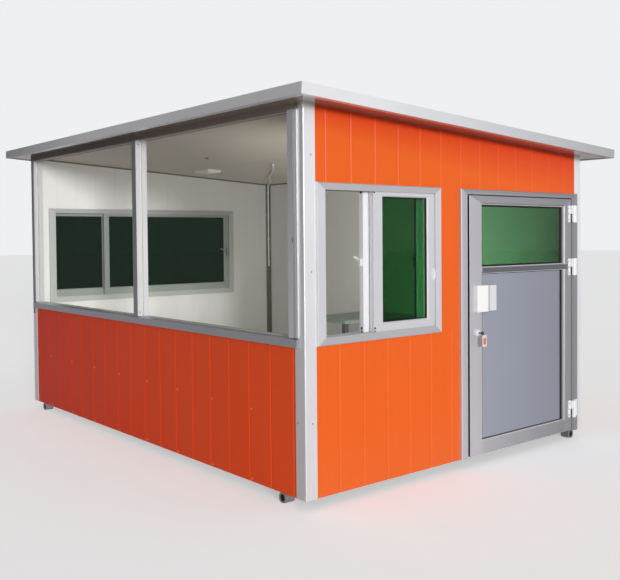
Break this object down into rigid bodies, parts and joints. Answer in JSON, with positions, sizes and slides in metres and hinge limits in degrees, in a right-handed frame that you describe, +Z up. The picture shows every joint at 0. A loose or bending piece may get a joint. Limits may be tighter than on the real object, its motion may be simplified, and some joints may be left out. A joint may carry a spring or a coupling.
{
  "type": "security guard booth",
  "caption": "Portable guard booth of orange ribbed sandwich panels with a mono-pitch roof, glazed front, sliding side windows and an outward-opening part-glazed door.",
  "frame": {"origin": "on the ground under the middle of the roof, at the underside of the feet", "axes": "+X along the front wall towards the door wall, +Y from the front to the back, +Z up"},
  "size_m": [4.76, 3.364, 2.6039],
  "materials": {
    "wall_panel": "glossy coil-coated sheet, orange outside and white inside",
    "roof_panel": "coil-coated sheet, off-white",
    "floor_sheet": "grey sheet covering",
    "trim": "satin anodised",
    "frame": "satin anodised",
    "clear_glass": "clear float glass",
    "green_glass": "green tinted float glass",
    "door_sheet": "satin blue-grey",
    "hinge_metal": "bright satin",
    "handle_plastic": "white",
    "lock_metal": "bright plated",
    "latch_metal": "satin grey",
    "foot_steel": "zinc plated",
    "foot_rubber": "matt black",
    "lamp_plastic": "opal white",
    "conduit_plastic": "white",
    "desk_board": "grey laminate on board",
    "desk_steel": "dark grey"
  },
  "bodies": {
    "booth": {"front_wall": "wall_panel", "back_wall": "wall_panel", "left_wall_lower": "wall_panel", "left_wall_upper": "wall_panel", "left_wall_piers": "wall_panel", "right_wall_lower": "wall_panel", "right_wall_upper": "wall_panel", "right_wall_piers": "wall_panel", "roof_panel_front": "roof_panel", "roof_panel_back": "roof_panel", "floor": "floor_sheet", "front_corner_trims": "trim", "back_corner_trims": "trim", "inner_corner_trims": "trim", "roof_edge_trim": "trim", "front_window_sill": "frame", "front_window_head": "frame", "front_window_jambs": "frame", "front_window_mullion": "frame", "right_window_head": "frame", "right_window_sill": "frame", "right_window_jambs": "frame", "right_window_fixed_sash": "frame", "right_window_sliding_sash": "frame", "left_window_head": "frame", "left_window_sill": "frame", "left_window_jambs": "frame", "left_window_sliding_sash": "frame", "left_window_fixed_sash": "frame", "door_jambs": "frame", "door_head": "frame", "door_threshold": "frame", "front_window_panes": "clear_glass", "right_window_panes": "green_glass", "left_window_panes": "green_glass", "door_frame_hinges": "hinge_metal", "window_latches": "latch_metal", "feet": "foot_steel", "foot_plugs": "foot_rubber", "ceiling_lamp": "lamp_plastic", "conduit": "conduit_plastic", "desk_top": "desk_board", "desk_legs": "desk_steel"},
    "door": {"door_leaf_stiles": "frame", "door_leaf_rails": "frame", "door_glass": "green_glass", "door_panel": "door_sheet", "door_hinges": "hinge_metal", "door_handle_case": "handle_plastic", "door_handle_grip": "handle_plastic", "door_lock": "lock_metal"}
  },
  "joints": [
    {"name": "door_hinge", "type": "hinge", "parent": "booth", "child": "door", "pos_m": [2.217, 1.338, 0], "axis": [0, 0, 1], "range_deg": [0, 165]}
  ]
}
